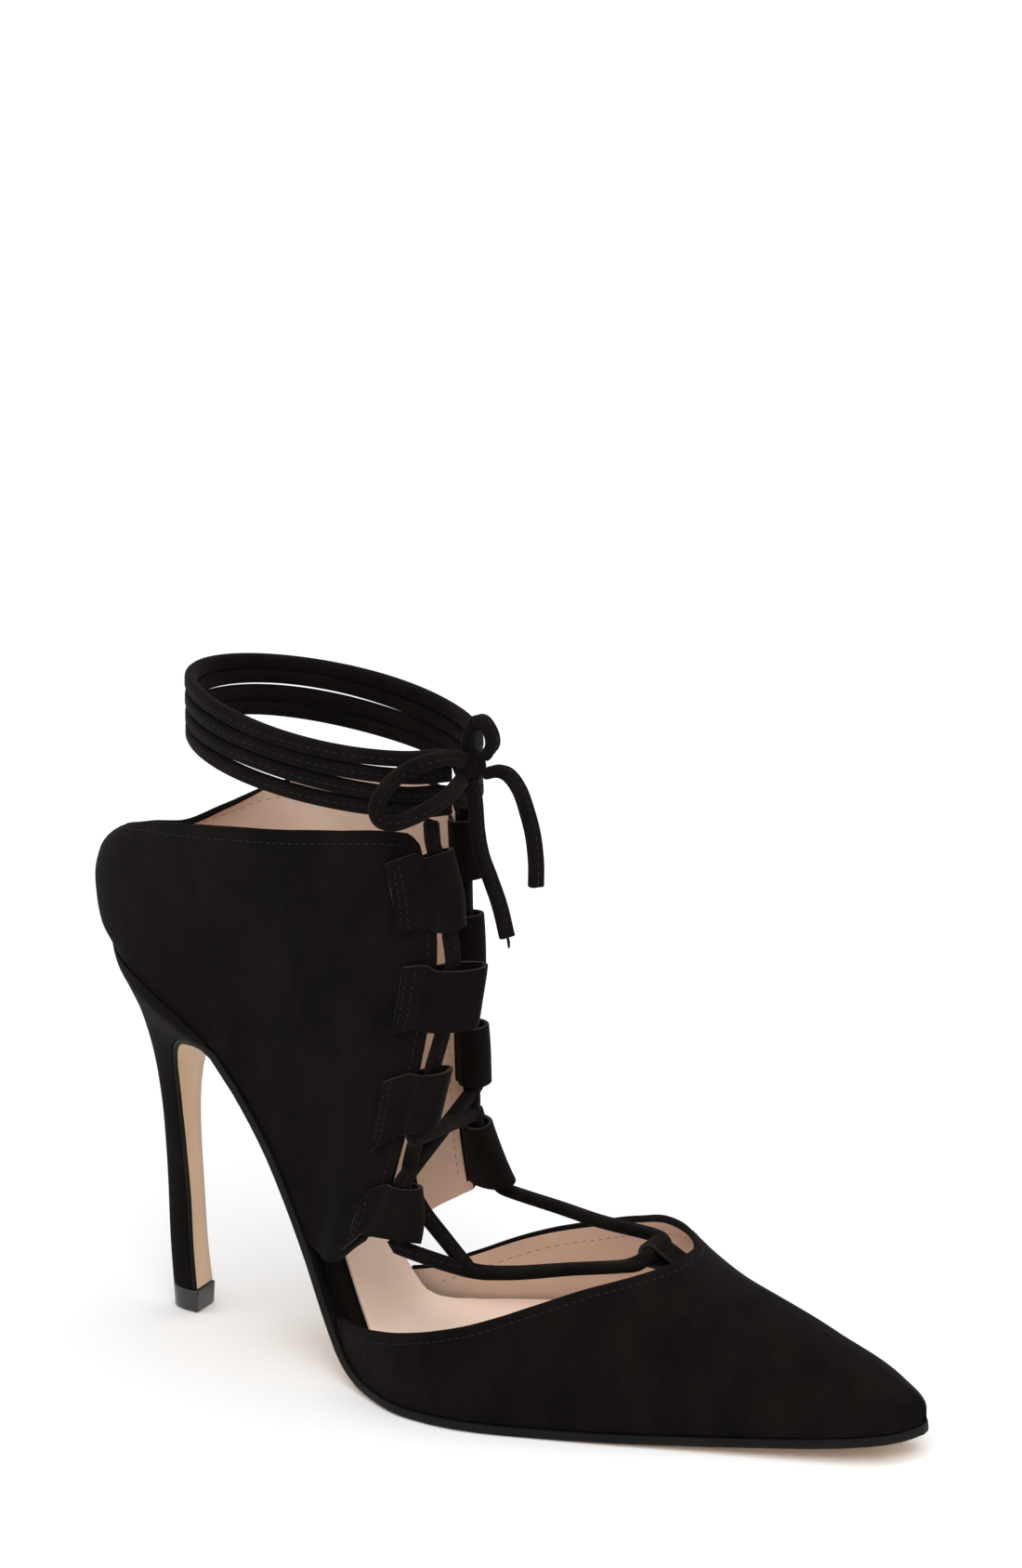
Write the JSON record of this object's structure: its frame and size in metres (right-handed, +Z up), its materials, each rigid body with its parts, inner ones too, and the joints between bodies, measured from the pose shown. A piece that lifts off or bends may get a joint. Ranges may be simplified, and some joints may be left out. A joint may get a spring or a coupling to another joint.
{
  "type": "lace up heel",
  "caption": "High stiletto shoe with a pointed closed toe, open waist, tall ankle quarter, folded lace tabs and a suede lace wound round the ankle and tied in a bow.",
  "frame": {"origin": "middle of the heel tip, on the floor", "axes": "+X towards the toe, +Y towards the inner side of the foot, +Z up"},
  "size_m": [0.2351, 0.0778, 0.1796],
  "materials": {
    "suede": "matte suede nap, near black",
    "lining": "smooth, slightly satin",
    "sole_leather": "smooth tan sole leather with blacked edges",
    "tip_plastic": "gloss, near black"
  },
  "bodies": {
    "root": {"bow_loop_large": "suede", "bow_loop_small": "suede", "heel": "suede", "insole": "suede", "knot": "suede", "lace_end_long": "suede", "lace_end_short": "suede", "lace_run": "suede", "outsole": "sole_leather", "quarter": "suede", "sock": "lining", "tab_inner_1": "suede", "tab_inner_2": "suede", "tab_inner_3": "suede", "tab_inner_4": "suede", "tab_outer_1": "suede", "tab_outer_2": "suede", "tab_outer_3": "suede", "tab_outer_4": "suede", "throat_loop": "suede", "top_piece": "tip_plastic", "vamp": "suede", "wrap_lower": "suede", "wrap_upper": "suede"}
  },
  "joints": []
}
